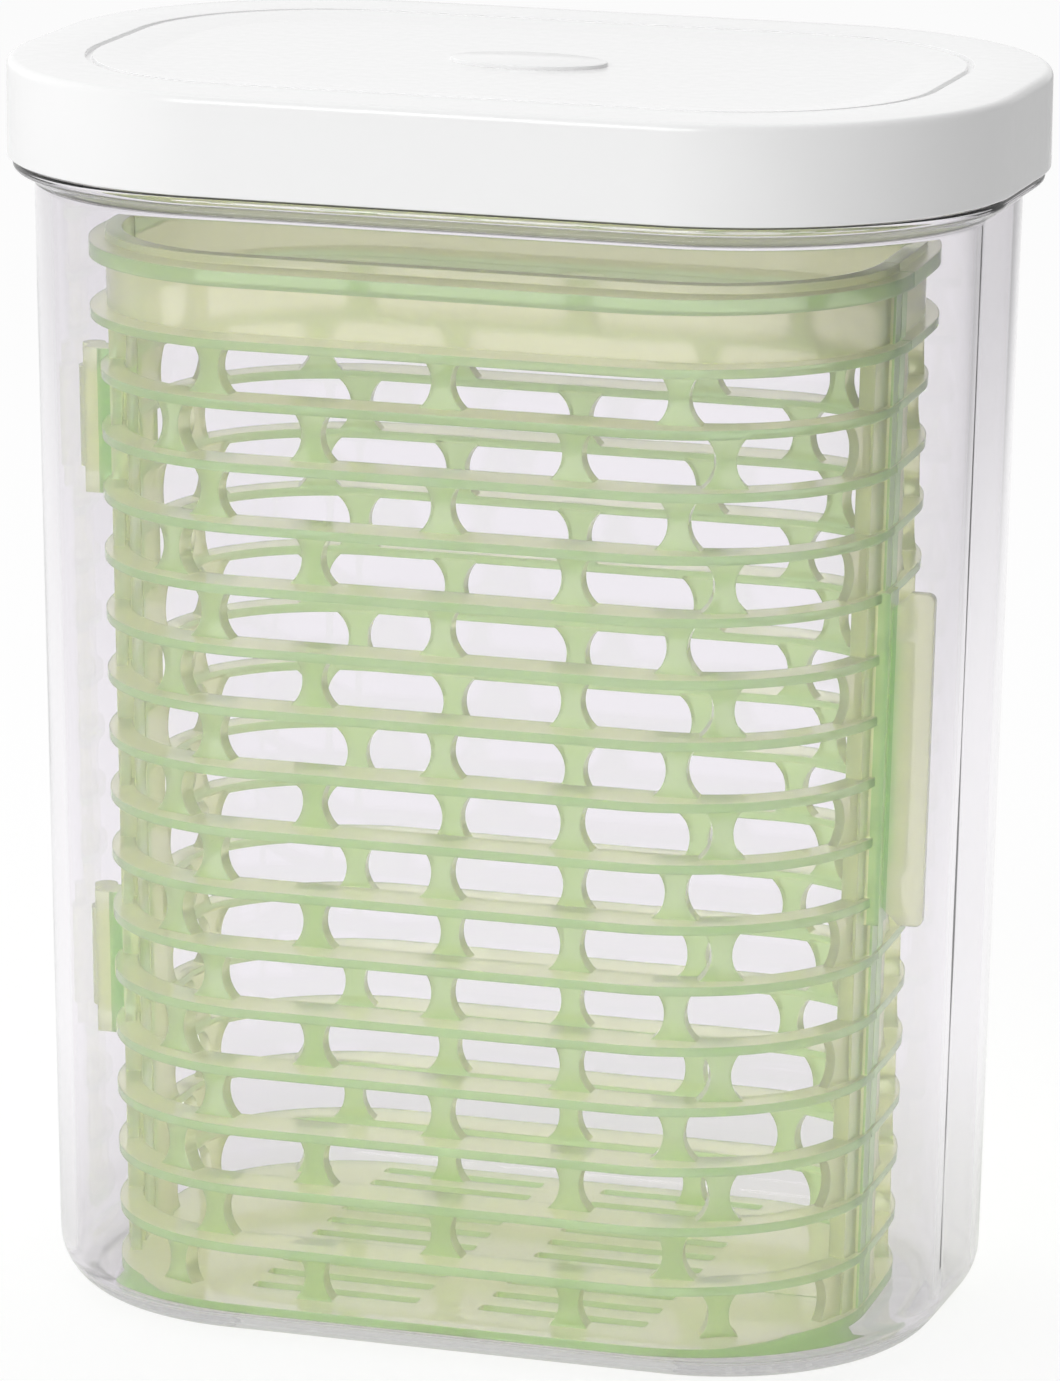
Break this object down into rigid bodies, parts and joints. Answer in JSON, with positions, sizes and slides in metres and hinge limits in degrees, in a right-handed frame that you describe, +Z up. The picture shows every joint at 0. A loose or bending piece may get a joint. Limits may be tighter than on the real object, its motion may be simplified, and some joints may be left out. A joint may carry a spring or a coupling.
{
  "type": "produce keeper",
  "caption": "Clear rounded container with a white push-on lid and a pale green slatted basket that lifts out and opens on a side hinge, for keeping cut herbs in water.",
  "frame": {"origin": "middle of the underside of the container's base", "axes": "+Z up, +X to the right along the wide face, the wide front face looks along -Y"},
  "size_m": [0.1656, 0.1106, 0.205],
  "materials": {
    "clear_plastic": "clear and polished",
    "white_plastic": "glossy white",
    "seal_rubber": "matt, cloudy white",
    "basket_plastic": "translucent, satin"
  },
  "bodies": {
    "container": {"container": "clear_plastic"},
    "basket_back": {"basket_back": "basket_plastic"},
    "basket_front": {"basket_front": "basket_plastic"},
    "lid": {"lid": "white_plastic", "lid_gasket": "seal_rubber"}
  },
  "joints": [
    {"name": "basket_lift", "type": "slide", "parent": "container", "child": "basket_back", "axis": [0, 0, 1], "range_m": [0, 0.2]},
    {"name": "lid_lift", "type": "slide", "parent": "basket_back", "child": "lid", "axis": [0, 0, 1], "range_m": [0, 0.05]},
    {"name": "basket_hinge", "type": "hinge", "parent": "basket_back", "child": "basket_front", "pos_m": [-0.07183, -0.009, 0.1438], "axis": [0.019, 0, -0.9998], "range_deg": [0, 1.15]}
  ]
}
